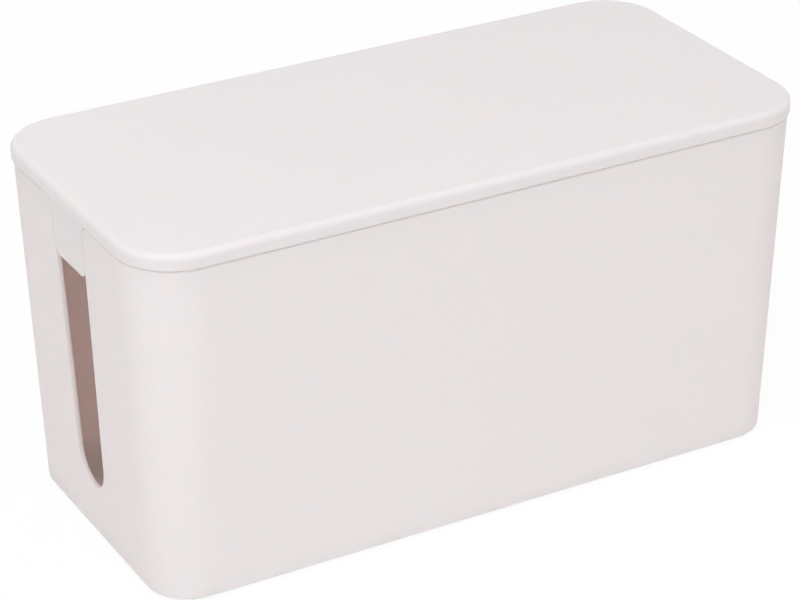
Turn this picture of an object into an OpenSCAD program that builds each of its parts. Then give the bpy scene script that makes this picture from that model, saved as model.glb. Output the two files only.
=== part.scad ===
// Cable management box: a drafted tub with a cable slot in each end, a lift-off
// lid whose end tabs close the tops of the slots, and four rubber feet.
// The origin is on the desk under the middle of the box. +X runs along the box
// and +Z is up.
//
// The walls lean out towards the top and the corner axes stand upright, so every
// upright corner is a stretch of a cone. One half section, drawn from a corner
// axis outwards, is swept round the box for each of the two mouldings.

/* [Outline] */
// Length over the lid
box_length = 235; // [200:1:400]
// Width over the lid
box_width = 112; // [100:1:160]
// Height from the desk to the top of the lid
box_height = 121; // [100:1:150]
// Plan radius of the lid's corners
corner_r = 19.5; // [16:0.5:26]

/* [Tub] */
// Wall thickness
wall = 1.6; // [1.4:0.1:2.6]
// Floor thickness
floor_t = 2.4; // [2.2:0.1:4]
// Lean of the walls, in degrees from upright
draft = 2.1; // [0.5:0.1:2.2]
// Radius of the edge under the walls
base_edge_r = 1.5; // [1:0.1:4]
// Radius between the walls and the floor, inside
floor_fillet_r = 3; // [1:0.1:5]
// Width of the small bevels along the rim
rim_bevel = 0.4; // [0.2:0.1:0.6]

/* [Cable slots] */
// Width of a slot at its round bottom end
slot_w = 19; // [14:0.2:26]
// Lean of a slot's sides, in degrees from upright
slot_lean = 1.4; // [0.5:0.1:3]
// Height of a slot's lowest point above the desk
slot_low = 19.4; // [12:0.2:40]
// Radius of the rim corners on both sides of a slot
mouth_r = 4; // [2:0.5:6]

/* [Lid] */
// Height of the lid from the seam to its top face
rim_h = 5.4; // [5:0.1:10]
// How far the lid stands out past the tub at the seam
overhang = 0.7; // [0.3:0.1:1.2]
// Radius of the edge round the top face
lid_edge_r = 2.1; // [1:0.1:4]
// Radius of the edge round the underside of the lid
lid_under_r = 1; // [0.2:0.1:1.2]
// Thickness of the top plate
plate_t = 2.4; // [2:0.1:3]
// Thickness of the locating lip at its tip
lip_t = 1.5; // [1.2:0.1:2]
// Depth of the locating lip below the seam
lip_depth = 7; // [4:0.5:10]
// Gap between the lip and the tub wall
lip_gap = 0.35; // [0.3:0.05:0.6]
// Reach of the end tabs below the seam
tab_reach = 18.6; // [15:0.1:24]
// Radius of the lower corners of a tab
tab_corner_r = 3; // [1:0.1:5]
// Gap between a tab and the sides of its slot
tab_gap = 0.35; // [0.3:0.05:0.6]

/* [Feet] */
// Diameter of a foot
foot_d = 12; // [8:0.5:16]
// Thickness of a foot
foot_t = 2.2; // [1.6:0.1:2.2]
// How far a foot stands out below the tub
foot_proud = 1; // [0.6:0.1:1.2]
// Distance from the middle of a foot to the nearest corner axis, along both sides
foot_inset = 4; // [0:0.5:16]

/* [Hidden] */

$fn = 96;
over = 1;                                 // how far a cutting shape runs past its work
seat_gap = 0.05;                          // play between the lid and the tub's rim
foot_play = 0.15;                         // gap round a foot in its recess
foot_bevel = 0.4;                         // bevel round a foot's lower edge
lip_lead = 0.6;                           // bevel that guides the lip into the tub
gusset_t = 1.2;                           // thickness of a tab's two stiffeners
gusset_w = 6;                             // their width under the top plate
gusset_pitch = 10;                        // distance between them
gusset_stop = 4;                          // height of their ends above the tab's lower edge

ax = box_length / 2 - corner_r;           // corner axes, along the box
ay = box_width / 2 - corner_r;            // corner axes, across the box
base_z = foot_proud;                      // underside of the tub
floor_z = base_z + floor_t;               // top of the floor
seam_z = box_height - rim_h;              // underside of the lid's rim
tub_top_z = seam_z - seat_gap;
plate_z = box_height - plate_t;           // underside of the top plate
lip_z = seam_z - lip_depth;               // tip of the lip
tab_z = seam_z - tab_reach;               // lower edge of a tab

slot_r = slot_w / 2;
slot_turn_z = slot_low + slot_r;          // centre of a slot's round end
mouth_z = seam_z - mouth_r;               // centres of the mouth's rounded corners
mouth_y = slot_side(mouth_z) + mouth_r / cos(slot_lean);
lip_in = in_u(lip_z) - lip_gap - lip_t;   // inside of the lip, from a corner axis

white = "#ebe7e4";
rubber = "#5c5e60";

// Distance of the wall's outside face from a corner axis, at height z.
function out_u(z) = corner_r - overhang - (seam_z - z) * tan(draft);

// The same for the wall's inside face.
function in_u(z) = out_u(z) - wall;

// Distance of a slot's side from the slot's middle at height z. `play` is the
// gap left by a shape that goes into the slot.
function slot_side(z, play = 0) =
    (slot_r - play) / cos(slot_lean) + (z - slot_turn_z) * tan(slot_lean);

// Sweeps a half section round the plan of the box. The section's x is the
// distance out from a corner axis and its y is the height.
module round_the_box() {
    for (quarter = [0:3]) {
        corner = quarter % 2 == 0 ? [ax, ay] : [ay, ax];
        rotate([0, 0, 90 * quarter]) translate([corner.x, corner.y, 0]) {
            rotate_extrude(angle = 90) children();
            rotate([90, 0, 0]) linear_extrude(2 * corner.y) children();
        }
    }
}

// Fills the middle of the box between the corner axes.
module middle_plate(z, t) {
    translate([-ax, -ay, z]) cube([2 * ax, 2 * ay, t]);
}

// Turns a face drawn across the box, x to its left and y up, into a bar along
// the box, from its middle to its right end.
module along_the_box() {
    rotate([90, 0, 90]) linear_extrude(box_length / 2) children();
}

// What is taken off a square corner to round it, about the round's centre.
module corner_waste(r) {
    difference() {
        square(r + over);
        circle(r = r);
    }
}

// Half section of the tub as a solid block.
module tub_outside() {
    turn = [out_u(base_z + base_edge_r) - base_edge_r / cos(draft), base_z + base_edge_r];
    translate(turn) circle(r = base_edge_r);
    polygon([
        [0, base_z],
        [turn.x, base_z],
        turn + base_edge_r * [cos(draft), -sin(draft)],
        [out_u(tub_top_z - rim_bevel), tub_top_z - rim_bevel],
        [out_u(tub_top_z) - rim_bevel, tub_top_z],
        [0, tub_top_z]
    ]);
}

// Half section of the hollow inside the tub.
module tub_inside() {
    turn = [in_u(floor_z + floor_fillet_r) - floor_fillet_r / cos(draft), floor_z + floor_fillet_r];
    translate(turn) circle(r = floor_fillet_r);
    polygon([
        [-over, floor_z],
        [turn.x, floor_z],
        turn + floor_fillet_r * [cos(draft), -sin(draft)],
        [in_u(tub_top_z - rim_bevel), tub_top_z - rim_bevel],
        [in_u(tub_top_z) + rim_bevel, tub_top_z],
        [in_u(tub_top_z) + rim_bevel, tub_top_z + over],
        [-over, tub_top_z + over]
    ]);
}

module tub_section() {
    difference() {
        tub_outside();
        tub_inside();
    }
}

// Spreading top of a slot, between the two rounded rim corners.
module slot_mouth(play = 0) {
    difference() {
        translate([-mouth_y, mouth_z]) square([2 * mouth_y, box_height - mouth_z]);
        for (side = [-1, 1])
            translate([side * mouth_y, mouth_z]) circle(r = mouth_r + play);
    }
}

// Shape with leaning sides and round lower corners, open at the top. The
// corners' centres are at [-turn.x, turn.y] and turn.
module leaning_strip(turn, r) {
    touch = turn + r * [cos(slot_lean), -sin(slot_lean)];
    top = touch + (box_height - touch.y) * [tan(slot_lean), 1];
    for (side = [-1, 1])
        translate([side * turn.x, turn.y]) circle(r = r);
    polygon([
        [-turn.x, turn.y - r], [turn.x, turn.y - r], touch, top,
        [-top.x, top.y], [-touch.x, touch.y]
    ]);
}

module slot_face() {
    leaning_strip([0, slot_turn_z], slot_r);
    slot_mouth();
}

module tab_face() {
    turn_z = tab_z + tab_corner_r;
    turn_y = slot_side(turn_z, tab_gap) - tab_corner_r / cos(slot_lean);
    leaning_strip([turn_y, turn_z], tab_corner_r);
    slot_mouth(tab_gap);
}

// Where the feet stand, by the signs of their two sides.
function foot_place(side_x, side_y) = [side_x * (ax - foot_inset), side_y * (ay - foot_inset), 0];

module tub() {
    color(white) difference() {
        union() {
            round_the_box() tub_section();
            middle_plate(base_z, floor_t);
        }
        along_the_box() slot_face();
        rotate([0, 0, 180]) along_the_box() slot_face();
        for (side_x = [-1, 1], side_y = [-1, 1])
            translate(foot_place(side_x, side_y))
                cylinder(h = foot_t, d = foot_d + 2 * foot_play);
    }
}

// Half section of the lid: top plate, rounded rim and locating lip.
module lid_section() {
    lip_out = in_u(seam_z) - lip_gap;
    lip_tip_out = in_u(lip_z) - lip_gap;
    difference() {
        polygon([
            [0, box_height], [corner_r, box_height], [corner_r, seam_z], [lip_out, seam_z],
            [lip_tip_out, lip_z + lip_lead], [lip_tip_out - lip_lead, lip_z],
            [lip_in, lip_z], [lip_in, plate_z], [0, plate_z]
        ]);
        translate([corner_r - lid_edge_r, box_height - lid_edge_r]) corner_waste(lid_edge_r);
        translate([corner_r - lid_under_r, seam_z + lid_under_r])
            mirror([0, 1]) corner_waste(lid_under_r);
    }
}

// Section of an end tab along the box: flush with the leaning wall outside, and
// grown into the lip above.
module tab_section() {
    root_z = lip_z - lip_gap - lip_t;
    polygon([
        [out_u(tab_z), tab_z], [out_u(seam_z), seam_z], [out_u(seam_z), plate_z],
        [lip_in, plate_z], [lip_in, lip_z], [in_u(root_z), root_z], [in_u(tab_z), tab_z]
    ]);
}

// Stiffener between a tab and the top plate.
module gusset_section() {
    tip_z = tab_z + gusset_stop;
    polygon([
        [lip_in - gusset_w, plate_z], [in_u(tip_z), tip_z], [in_u(tip_z) + wall / 2, tip_z],
        [lip_in + lip_t, plate_z + plate_t / 2], [lip_in - gusset_w, plate_z + plate_t / 2]
    ]);
}

// A bar across the box of the given width, at the right end.
module across_the_end(y, width) {
    translate([ax, y + width / 2, 0]) rotate([90, 0, 0]) linear_extrude(width) children();
}

module end_tab() {
    intersection() {
        across_the_end(0, 2 * mouth_y) tab_section();
        along_the_box() tab_face();
    }
    for (side = [-1, 1])
        across_the_end(side * gusset_pitch / 2, gusset_t) gusset_section();
}

module lid() {
    color(white) union() {
        round_the_box() lid_section();
        middle_plate(plate_z, plate_t);
        end_tab();
        rotate([0, 0, 180]) end_tab();
    }
}

// A rubber foot, glued up into its recess in the floor.
module foot(side_x, side_y) {
    color(rubber) translate(foot_place(side_x, side_y)) rotate_extrude() polygon([
        [0, 0], [foot_d / 2 - foot_bevel, 0], [foot_d / 2, foot_bevel],
        [foot_d / 2, foot_t], [0, foot_t]
    ]);
}

tub();
lid();
foot(-1, -1);  // foot_front_left
foot(1, -1);  // foot_front_right
foot(-1, 1);  // foot_rear_left
foot(1, 1);  // foot_rear_right
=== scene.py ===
"""The looks of a cable management box.

A white tub and its lift-off lid, both moulded in ABS, stand on four rubber
feet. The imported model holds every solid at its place. This script gives those
solids their finishes, adds the marks that moulding leaves on the hidden faces,
and sets up a plain studio with the camera.
"""

import logging
import math
from dataclasses import dataclass
from enum import Enum
from typing import Any

import bmesh
import bpy
from mathutils import Matrix, Vector


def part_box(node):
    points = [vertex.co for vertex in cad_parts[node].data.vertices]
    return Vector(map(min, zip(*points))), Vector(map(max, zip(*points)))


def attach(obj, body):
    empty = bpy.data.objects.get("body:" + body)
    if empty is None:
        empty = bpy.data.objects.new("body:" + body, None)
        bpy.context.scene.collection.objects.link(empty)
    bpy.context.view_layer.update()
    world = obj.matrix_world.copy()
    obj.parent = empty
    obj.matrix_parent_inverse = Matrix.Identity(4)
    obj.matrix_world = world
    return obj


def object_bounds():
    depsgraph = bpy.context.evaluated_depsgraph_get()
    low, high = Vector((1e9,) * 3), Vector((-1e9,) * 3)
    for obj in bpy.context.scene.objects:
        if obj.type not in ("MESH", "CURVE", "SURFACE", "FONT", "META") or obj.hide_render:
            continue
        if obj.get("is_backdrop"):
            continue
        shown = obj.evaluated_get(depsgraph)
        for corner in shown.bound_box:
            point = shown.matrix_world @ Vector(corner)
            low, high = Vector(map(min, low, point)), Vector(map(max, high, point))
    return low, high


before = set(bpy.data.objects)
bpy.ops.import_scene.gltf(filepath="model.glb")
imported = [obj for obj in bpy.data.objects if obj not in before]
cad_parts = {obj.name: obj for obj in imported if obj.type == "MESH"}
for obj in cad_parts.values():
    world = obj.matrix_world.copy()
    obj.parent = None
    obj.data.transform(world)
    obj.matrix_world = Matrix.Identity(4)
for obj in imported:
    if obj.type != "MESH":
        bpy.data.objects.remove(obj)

LOG = logging.getLogger("cable_box")
MM = 0.001
PURE_WHITE = "#ffffff"
UP = Matrix.Identity(4)             # turns of a mark: on a face that looks up, or down
DOWN = Matrix.Rotation(math.pi, 4, "X")
ROUND_SIDES = 48                    # sides that a round mark is built with


def linear(hex_colour: str) -> tuple[float, float, float, float]:
    """Turn an sRGB hex value into the linear colour that shaders take.

    Args:
        hex_colour: The colour as "#rrggbb".

    Returns:
        Linear red, green and blue, and an alpha of 1.
    """
    parts = [int(hex_colour[i:i + 2], 16) / 255 for i in (1, 3, 5)]
    # the sRGB curve: straight near black, then a power
    light = [p / 12.92 if p <= 0.04045 else ((p + 0.055) / 1.055) ** 2.4 for p in parts]
    return (light[0], light[1], light[2], 1.0)


def add_node(
    tree: bpy.types.NodeTree, kind: str, settings: dict[str, Any], inputs: dict[Any, Any]
) -> bpy.types.Node:
    """Add one node to a tree, with its settings and links.

    Args:
        tree: The material's or the world's node tree.
        kind: The node's type, without its "ShaderNode" start.
        settings: Values of the node's own properties.
        inputs: What goes into its sockets, by name or number: a value, or the
            output socket to link from.

    Returns:
        The new node.
    """
    node = tree.nodes.new("ShaderNode" + kind)
    for name, value in settings.items():
        setattr(node, name, value)
    for key, value in inputs.items():
        if isinstance(value, bpy.types.NodeSocket):
            tree.links.new(value, node.inputs[key])
        else:
            node.inputs[key].default_value = value
    return node


def empty_material(name: str) -> bpy.types.Material:
    """Make a material with an empty node tree.

    Args:
        name: Name of the material.

    Returns:
        The new material.
    """
    material = bpy.data.materials.new(name)
    material.use_nodes = True
    material.node_tree.nodes.clear()
    return material


class ToolFace(Enum):
    """How the steel was worked that shaped a plastic face."""

    SPARKED = "sparked"
    GROUND = "ground"


@dataclass(frozen=True)
class MouldedAbs:
    """White ABS from an injection mould.

    ABS is an almost opaque white that lets a little reddened light through a
    thin wall, so the inside of the box glows softly. A spark-eroded tool leaves
    a fine even grain, so highlights are broad and soft; the ground ends of
    ejector pins leave small smoother discs.
    """

    name: str = "moulded_abs_wall"
    face: ToolFace = ToolFace.SPARKED
    colour: str = "#f6f3f3"
    flow_colour: str = "#f4f1f0"    # where the melt ran last, a touch duller
    ior: float = 1.54
    roughness: float = 0.48
    roughness_spread: float = 0.05
    ground_polish: float = 0.1      # how much less rough a ground face is than a sparked one
    ground_grain: float = 0.4       # share of the grain that is left on a ground face
    grain_mm: float = 0.55          # real spark grain is 0.1 mm; drawn coarser to show
    grain_height_mm: float = 0.006
    flow_mm: float = 60.0           # length over which the melt's shade and gloss drift
    sink_mm: float = 38.0           # length of the faint waves left as a wall cools
    sink_height_mm: float = 0.03
    depth_mm: tuple[float, float, float] = (0.9, 0.75, 0.7)  # how far red, green, blue wander in it
    edge_mm: float = 0.5            # no moulded edge is sharp: polish and shrinkage round it
    edge_samples: int = 6
    through_colour: str = "#ffede6"
    through_share: float = 0.22     # share of the light on a face that goes through the wall

    def material(self) -> bpy.types.Material:
        """Build the material.

        Returns:
            A material that reads Object coordinates only.
        """
        material = empty_material(self.name)
        tree = material.node_tree
        ground = self.face is ToolFace.GROUND
        place = add_node(tree, "TexCoord", {}, {}).outputs["Object"]
        drift = add_node(tree, "TexNoise", {}, {
            "Vector": place, "Scale": 1 / (self.flow_mm * MM), "Detail": 2.0,
        }).outputs["Fac"]
        colour = add_node(tree, "Mix", {"data_type": "RGBA"}, {
            "Factor": drift, "A": linear(self.colour), "B": linear(self.flow_colour),
        }).outputs["Result"]
        middle = self.roughness - (self.ground_polish if ground else 0.0)
        roughness = add_node(tree, "MapRange", {}, {
            "Value": drift,
            "To Min": middle - self.roughness_spread, "To Max": middle + self.roughness_spread,
        }).outputs["Result"]
        sink = add_node(tree, "TexNoise", {}, {
            "Vector": place, "Scale": 1 / (self.sink_mm * MM), "Detail": 0.0,
        }).outputs["Fac"]
        grain = add_node(tree, "TexNoise", {}, {
            "Vector": place, "Scale": 1 / (self.grain_mm * MM), "Detail": 1.0,
        }).outputs["Fac"]
        soft = add_node(tree, "Bevel", {"samples": self.edge_samples}, {
            "Radius": self.edge_mm * MM,
        }).outputs["Normal"]
        waves = add_node(tree, "Bump", {}, {
            "Strength": 1.0, "Distance": self.sink_height_mm * MM, "Height": sink,
            "Normal": soft,
        }).outputs["Normal"]
        normal = add_node(tree, "Bump", {}, {
            "Strength": self.ground_grain if ground else 1.0,
            "Distance": self.grain_height_mm * MM, "Height": grain, "Normal": waves,
        }).outputs["Normal"]
        shader = add_node(tree, "BsdfPrincipled", {"subsurface_method": "RANDOM_WALK"}, {
            "Base Color": colour, "Roughness": roughness, "IOR": self.ior, "Normal": normal,
            "Subsurface Weight": 1.0, "Subsurface Radius": self.depth_mm,
            "Subsurface Scale": MM,
        })
        through = add_node(tree, "BsdfTranslucent", {}, {"Color": linear(self.through_colour)})
        wall = add_node(tree, "MixShader", {}, {
            0: self.through_share, 1: shader.outputs["BSDF"], 2: through.outputs["BSDF"],
        })
        add_node(tree, "OutputMaterial", {}, {"Surface": wall.outputs["Shader"]})
        return material


WALL_ABS = MouldedAbs()
# The lid's plate is thicker than a wall and passes half as much light. Its white is painted a
# little darker than the tub's, though both are the same plastic: a painted shade that tones down
# the lid's brighter top and the highlight on its edge, so that the lid and the tub read alike from
# outside.
PLATE_ABS_PAINTED_SHADE = MouldedAbs(
    name="moulded_abs_plate_painted_shade", colour="#ede8e8", flow_colour="#ebe6e5", through_share=0.1
)
MARK_ABS = MouldedAbs(name="moulded_abs_ground", face=ToolFace.GROUND)


@dataclass(frozen=True)
class FootRubber:
    """Grey moulded rubber.

    Fine talc and a dull skin leave rubber almost without a highlight, with
    small pale specks where dust clings to it.
    """

    colour: str = "#595b5d"
    dust_colour: str = "#7d7d7b"
    ior: float = 1.52
    roughness: float = 0.78
    dust_mm: float = 1.6
    dust_from: float = 0.5          # level of the noise at which dust begins to show
    dust_full: float = 0.75         # level at which it lies thickest
    dust_cover: float = 0.6         # share of the rubber's colour that the thickest dust hides
    dust_roughness: float = 0.95
    grain_mm: float = 0.4
    grain_height_mm: float = 0.02

    def material(self) -> bpy.types.Material:
        """Build the material.

        Returns:
            A material that reads Object coordinates only.
        """
        material = empty_material("foot_rubber")
        tree = material.node_tree
        place = add_node(tree, "TexCoord", {}, {}).outputs["Object"]
        specks = add_node(tree, "TexNoise", {}, {
            "Vector": place, "Scale": 1 / (self.dust_mm * MM), "Detail": 6.0,
        }).outputs["Fac"]
        dust = add_node(tree, "MapRange", {}, {
            "Value": specks, "From Min": self.dust_from, "From Max": self.dust_full,
            "To Max": self.dust_cover,
        }).outputs["Result"]
        colour = add_node(tree, "Mix", {"data_type": "RGBA"}, {
            "Factor": dust, "A": linear(self.colour), "B": linear(self.dust_colour),
        }).outputs["Result"]
        grain = add_node(tree, "TexNoise", {}, {
            "Vector": place, "Scale": 1 / (self.grain_mm * MM), "Detail": 2.0,
        }).outputs["Fac"]
        normal = add_node(tree, "Bump", {}, {
            "Strength": 1.0, "Distance": self.grain_height_mm * MM, "Height": grain,
        }).outputs["Normal"]
        roughness = add_node(tree, "MapRange", {}, {
            "Value": dust, "To Min": self.roughness, "To Max": self.dust_roughness,
        }).outputs["Result"]
        shader = add_node(tree, "BsdfPrincipled", {}, {
            "Base Color": colour, "Roughness": roughness, "IOR": self.ior, "Normal": normal,
        })
        add_node(tree, "OutputMaterial", {}, {"Surface": shader.outputs["BSDF"]})
        return material


def dress(node: str, material: bpy.types.Material) -> bpy.types.Object:
    """Give a CAD node its finish.

    Args:
        node: Name of the node.
        material: What all its material slots get.

    Returns:
        The node's object.
    """
    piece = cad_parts[node]
    for slot in piece.material_slots:
        slot.material = material
    return piece


def seat(
    shape: bmesh.types.BMesh, name: str, body: str, material: bpy.types.Material
) -> bpy.types.Object:
    """Turn a finished shape into a piece that rides on a body.

    Args:
        shape: The shape, with its place in its vertices. It is freed.
        name: Name of the piece.
        body: Body that the piece moves with.
        material: Its finish.

    Returns:
        The new object, at the origin.
    """
    mesh = bpy.data.meshes.new(name)
    bmesh.ops.recalc_face_normals(shape, faces=shape.faces)
    shape.to_mesh(mesh)
    shape.free()
    mesh.materials.append(material)
    piece = bpy.data.objects.new(name, mesh)
    bpy.context.scene.collection.objects.link(piece)
    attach(piece, body)
    return piece


@dataclass
class PinMarks:
    """The round marks that ejector pins leave on the core side of a moulding.

    Each is a disc just above the face round it, inside a fine raised rim. They
    stand in rows, centred on the box.
    """

    face_z: float
    turn: Matrix
    reach_x: float                  # how far the outer marks are from the middle
    reach_y: float
    columns: int
    rows: int
    pin_radius: float = 3.5 * MM
    rim_width: float = 0.35 * MM
    rim_height: float = 0.12 * MM
    disc_height: float = 0.04 * MM
    rooted: float = 0.3 * MM        # how deep a mark reaches into the plastic

    def build(self) -> bmesh.types.BMesh:
        """Build all marks as one shape.

        Returns:
            The shape, in place.
        """
        shape = bmesh.new()
        for column in range(self.columns):
            for row in range(self.rows):
                x = self.reach_x * (2 * column / (self.columns - 1) - 1)
                y = self.reach_y * (2 * row / (self.rows - 1) - 1)
                self.add_mark(shape, Matrix.Translation((x, y, self.face_z)) @ self.turn)
        return shape

    def add_mark(self, shape: bmesh.types.BMesh, place: Matrix) -> None:
        """Add one mark.

        Args:
            shape: The shape to add to.
            place: Where its centre is on the face, with +Z away from the face.
        """
        height = self.rooted + self.rim_height
        sunk = place @ Matrix.Translation((0, 0, height / 2 - self.rooted))
        made = bmesh.ops.create_cone(
            shape, cap_ends=True, segments=ROUND_SIDES, radius1=self.pin_radius,
            radius2=self.pin_radius, depth=height, matrix=sunk,
        )
        outward = (place.to_3x3() @ Vector((0, 0, 1))).normalized()
        faces = {face for vert in made["verts"] for face in vert.link_faces}
        cap = max(faces, key=lambda face: face.calc_center_median().dot(outward))
        crest = list(cap.edges)
        bmesh.ops.inset_region(shape, faces=[cap], thickness=self.rim_width, depth=0)
        bmesh.ops.translate(
            shape, verts=cap.verts, vec=outward * (self.disc_height - self.rim_height)
        )
        bmesh.ops.bevel(
            shape, geom=crest, offset=self.rim_width / 4, offset_type="OFFSET",
            segments=2, profile=0.5, affect="EDGES", material=-1,
        )


@dataclass
class GateScar:
    """The stub that is left where the sprue was twisted off a moulding."""

    face_z: float
    turn: Matrix
    radius: float = 1.5 * MM
    ring_radius: float = 5.0 * MM
    height: float = 0.5 * MM
    ring_height: float = 0.2 * MM
    ring_foot: float = 0.5 * MM     # how far inside its outer wall the ring starts to rise
    ring_crest: float = 0.3 * MM    # how far inside its outer wall it is full height
    land: float = 0.05 * MM         # how far the flat between stub and ring stands off the face
    rooted: float = 0.3 * MM
    weld: float = 0.001 * MM        # points nearer to each other than this are one

    def build(self) -> bmesh.types.BMesh:
        """Build the stub and the low ring round it as one turned shape.

        Returns:
            The shape, in place.
        """
        shape = bmesh.new()
        profile = [
            # the stub, with a torn, slightly hollow top
            (0, self.height * 0.8), (self.radius * 0.6, self.height),
            (self.radius * 0.9, self.height * 0.7), (self.radius, self.land),
            # the ring
            (self.ring_radius - self.ring_foot, self.land),
            (self.ring_radius - self.ring_crest, self.ring_height),
            (self.ring_radius, self.ring_height * 0.8),
            # the root in the plastic
            (self.ring_radius, -self.rooted), (0, -self.rooted),
        ]
        verts = [shape.verts.new((x, 0, z)) for x, z in profile]
        edges = [shape.edges.new(pair) for pair in zip(verts, verts[1:])]
        bmesh.ops.spin(
            shape, geom=verts + edges, cent=(0, 0, 0), axis=(0, 0, 1),
            angle=2 * math.pi, steps=ROUND_SIDES, use_merge=True,
        )
        bmesh.ops.remove_doubles(shape, verts=shape.verts, dist=self.weld)
        shape.transform(Matrix.Translation((0, 0, self.face_z)) @ self.turn)
        return shape


@dataclass
class Tub:
    """The drafted tub, with the marks on its floor and underneath."""

    floor_thickness: float = 2.4 * MM
    pin_inset_x: float = 26 * MM    # from the tub's outside to the middle of the outer pins
    pin_inset_y: float = 22 * MM
    pin_columns: int = 5
    pin_rows: int = 2

    def build(
        self, plastic: bpy.types.Material, mark: bpy.types.Material
    ) -> list[bpy.types.Object]:
        """Dress the tub's node and add its moulding marks.

        Args:
            plastic: Finish of the moulding.
            mark: Finish of the pin marks and the gate scar.

        Returns:
            Its pieces.
        """
        low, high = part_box("tub")
        pins = PinMarks(
            face_z=low.z + self.floor_thickness, turn=UP,
            reach_x=high.x - self.pin_inset_x, reach_y=high.y - self.pin_inset_y,
            columns=self.pin_columns, rows=self.pin_rows,
        )
        gate = GateScar(face_z=low.z, turn=DOWN)
        return [
            dress("tub", plastic),
            seat(pins.build(), "floor_pin_marks", "base", mark),
            seat(gate.build(), "floor_gate_scar", "base", mark),
        ]


@dataclass
class Lid:
    """The lift-off lid, with the marks under its top plate."""

    plate_thickness: float = 2.4 * MM
    pin_inset_x: float = 24 * MM    # from the lid's outside to the middle of the outer pins
    pin_inset_y: float = 20 * MM
    pin_columns: int = 4
    pin_rows: int = 2

    def build(
        self, plastic: bpy.types.Material, mark: bpy.types.Material
    ) -> list[bpy.types.Object]:
        """Dress the lid's node and add its moulding marks.

        Args:
            plastic: Finish of the moulding.
            mark: Finish of the pin marks and the gate scar.

        Returns:
            Its pieces.
        """
        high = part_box("lid")[1]
        pins = PinMarks(
            face_z=high.z - self.plate_thickness, turn=DOWN,
            reach_x=high.x - self.pin_inset_x, reach_y=high.y - self.pin_inset_y,
            columns=self.pin_columns, rows=self.pin_rows,
        )
        gate = GateScar(face_z=pins.face_z, turn=DOWN)
        return [
            dress("lid", plastic),
            seat(pins.build(), "lid_pin_marks", "lid", mark),
            seat(gate.build(), "lid_gate_scar", "lid", mark),
        ]


@dataclass
class Feet:
    """The four glued rubber feet."""

    nodes: tuple[str, ...] = (
        "foot_front_left", "foot_front_right", "foot_rear_left", "foot_rear_right"
    )

    def build(self, rubber: bpy.types.Material) -> list[bpy.types.Object]:
        """Dress the feet.

        Args:
            rubber: Their finish.

        Returns:
            The four feet.
        """
        return [dress(node, rubber) for node in self.nodes]


@dataclass(frozen=True)
class Softbox:
    """A soft square lamp that is aimed at the middle of the box.

    Angles are in degrees. Azimuth 0 is in front of the box, and 90 is at its
    right end. Distance and side are in metres.
    """

    name: str
    azimuth: float
    elevation: float
    watts: float
    distance: float = 1.5
    side: float = 1.0
    colour: str = PURE_WHITE

    def build(self, aim: Vector) -> None:
        """Hang the lamp.

        Args:
            aim: The point that it faces.
        """
        light = bpy.data.lights.new(self.name, "AREA")
        light.size = self.side
        light.energy = self.watts
        light.color = linear(self.colour)[:3]
        turn, rise = math.radians(self.azimuth), math.radians(self.elevation)
        back = Vector((
            math.sin(turn) * math.cos(rise), -math.cos(turn) * math.cos(rise), math.sin(rise)
        ))
        lamp = bpy.data.objects.new(self.name, light)
        lamp.location = aim + back * self.distance
        lamp.rotation_euler = back.to_track_quat("Z", "Y").to_euler()
        bpy.context.scene.collection.objects.link(lamp)


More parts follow.
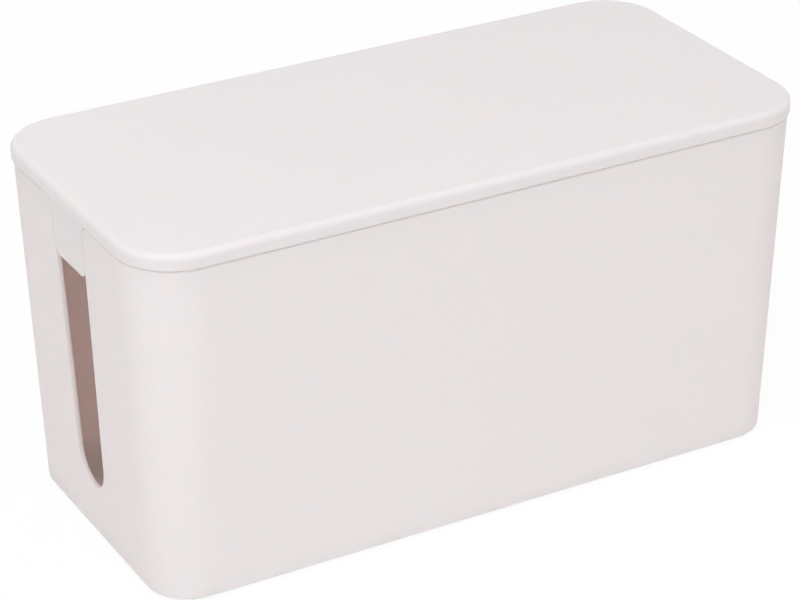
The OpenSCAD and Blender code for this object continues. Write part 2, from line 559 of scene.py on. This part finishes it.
@dataclass
class Studio:
    """A floor of white paper under an even sky, soft lamps and the camera.

    Lengths are in metres and angles in degrees, but the lens and the sensor are
    in millimetres, as a camera's are.
    """

    floor_half: float = 6.0
    floor_cells: int = 8
    floor_colour: str = "#fcfbfa"
    floor_glow: float = 0.93        # share of plain white in what the camera sees by the box
    floor_glow_near: float = 0.3    # distance from the box's middle up to which that share holds
    floor_glow_far: float = 1.2     # distance from there on which the paper is all white
    sky_colour: str = "#fdfaf8"
    sky_level: float = 0.51
    wall_bounces: int = 8           # scattered light turns this often inside the white box
    lamps: tuple[Softbox, ...] = (
        Softbox("lamp_top", azimuth=50, elevation=80, watts=5.0, side=1.6, colour="#fffaf8"),
        Softbox("lamp_front_left", azimuth=-50, elevation=50, watts=9.9, colour="#f2f9ff"),
        Softbox("lamp_front", azimuth=-10, elevation=45, watts=3.2, colour="#e4f3ff"),
        Softbox("lamp_right", azimuth=90, elevation=6, watts=2.0, distance=1.6),
        Softbox("lamp_back", azimuth=180, elevation=6, watts=2.0, distance=1.6),
    )
    camera_place: tuple[float, float, float] = (-414.42 * MM, -744.29 * MM, 493.0 * MM)
    camera_azimuth: float = -28.947
    camera_elevation: float = 27.181
    camera_roll: float = -0.467
    camera_lens: float = 132.56
    camera_sensor: float = 36.0
    camera_clip: tuple[float, float] = (0.05, 50.0)

    def build(self) -> None:
        """Build floor, world, lamps and camera."""
        self.build_floor()
        self.build_world()
        low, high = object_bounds()
        for lamp in self.lamps:
            lamp.build((low + high) / 2)
        self.build_camera()
        bpy.context.scene.cycles.diffuse_bounces = self.wall_bounces
        bpy.context.scene.view_settings.view_transform = "Standard"
        LOG.info("studio: floor, world, %d lamps and the camera", len(self.lamps))

    def build_floor(self) -> None:
        """Lay a pale floor that reads as white and keeps a soft shadow."""
        shape = bmesh.new()
        bmesh.ops.create_grid(
            shape, x_segments=self.floor_cells, y_segments=self.floor_cells, size=self.floor_half
        )
        mesh = bpy.data.meshes.new("studio_floor")
        shape.to_mesh(mesh)
        shape.free()
        material = empty_material("studio_paper")
        tree = material.node_tree
        path = add_node(tree, "LightPath", {}, {}).outputs
        shine = add_node(tree, "Math", {"operation": "MAXIMUM"}, {
            0: path["Is Camera Ray"], 1: path["Is Glossy Ray"],
        }).outputs[0]
        place = add_node(tree, "TexCoord", {}, {}).outputs["Object"]
        away = add_node(tree, "VectorMath", {"operation": "LENGTH"}, {0: place}).outputs["Value"]
        glow_here = add_node(tree, "MapRange", {}, {
            "Value": away, "From Min": self.floor_glow_near, "From Max": self.floor_glow_far,
            "To Min": self.floor_glow, "To Max": 1.0,
        }).outputs["Result"]
        share = add_node(tree, "Math", {"operation": "MULTIPLY"}, {
            0: shine, 1: glow_here,
        }).outputs[0]
        paper = add_node(tree, "BsdfDiffuse", {}, {"Color": linear(self.floor_colour)})
        glow = add_node(tree, "Emission", {}, {"Color": linear(PURE_WHITE), "Strength": 1.0})
        mixed = add_node(tree, "MixShader", {}, {
            0: share, 1: paper.outputs[0], 2: glow.outputs[0],
        })
        add_node(tree, "OutputMaterial", {}, {"Surface": mixed.outputs[0]})
        mesh.materials.append(material)
        floor = bpy.data.objects.new("studio_floor", mesh)
        bpy.context.scene.collection.objects.link(floor)
        floor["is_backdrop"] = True

    def build_world(self) -> None:
        """Surround the box with an even sky that the camera sees as white."""
        world = bpy.data.worlds.new("studio_sky")
        world.use_nodes = True
        tree = world.node_tree
        tree.nodes.clear()
        path = add_node(tree, "LightPath", {}, {}).outputs
        seen = add_node(tree, "Math", {"operation": "MAXIMUM"}, {
            0: path["Is Camera Ray"], 1: path["Is Glossy Ray"],
        }).outputs[0]
        shown = add_node(tree, "Math", {"operation": "MAXIMUM"}, {
            0: seen, 1: path["Is Transmission Ray"],
        }).outputs[0]
        sky = add_node(tree, "Background", {}, {
            "Color": linear(self.sky_colour), "Strength": self.sky_level,
        })
        white = add_node(tree, "Background", {}, {"Color": linear(PURE_WHITE), "Strength": 1.0})
        mixed = add_node(tree, "MixShader", {}, {
            0: shown, 1: sky.outputs[0], 2: white.outputs[0],
        })
        add_node(tree, "OutputWorld", {}, {"Surface": mixed.outputs[0]})
        bpy.context.scene.world = world

    def build_camera(self) -> None:
        """Place the camera and make it the scene's."""
        camera = bpy.data.cameras.new("camera")
        camera.lens = self.camera_lens
        camera.sensor_width = self.camera_sensor
        camera.clip_start, camera.clip_end = self.camera_clip
        view = bpy.data.objects.new("camera", camera)
        view.matrix_world = (
            Matrix.Translation(self.camera_place)
            @ Matrix.Rotation(math.radians(self.camera_azimuth), 4, "Z")
            @ Matrix.Rotation(math.radians(90 - self.camera_elevation), 4, "X")
            @ Matrix.Rotation(math.radians(self.camera_roll), 4, "Z")
        )
        bpy.context.scene.collection.objects.link(view)
        bpy.context.scene.camera = view


def main() -> None:
    """Build every sub-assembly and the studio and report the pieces."""
    logging.basicConfig(level=logging.INFO, format="%(name)s: %(message)s")
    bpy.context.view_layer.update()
    wall, plate, mark = WALL_ABS.material(), PLATE_ABS_PAINTED_SHADE.material(), MARK_ABS.material()
    pieces = Tub().build(wall, mark)
    pieces += Lid().build(plate, mark)
    pieces += Feet().build(FootRubber().material())
    for piece in pieces:
        LOG.info("%s: finished as %s", piece.name, piece.active_material.name)
    Studio().build()


if __name__ == "__main__":
    main()
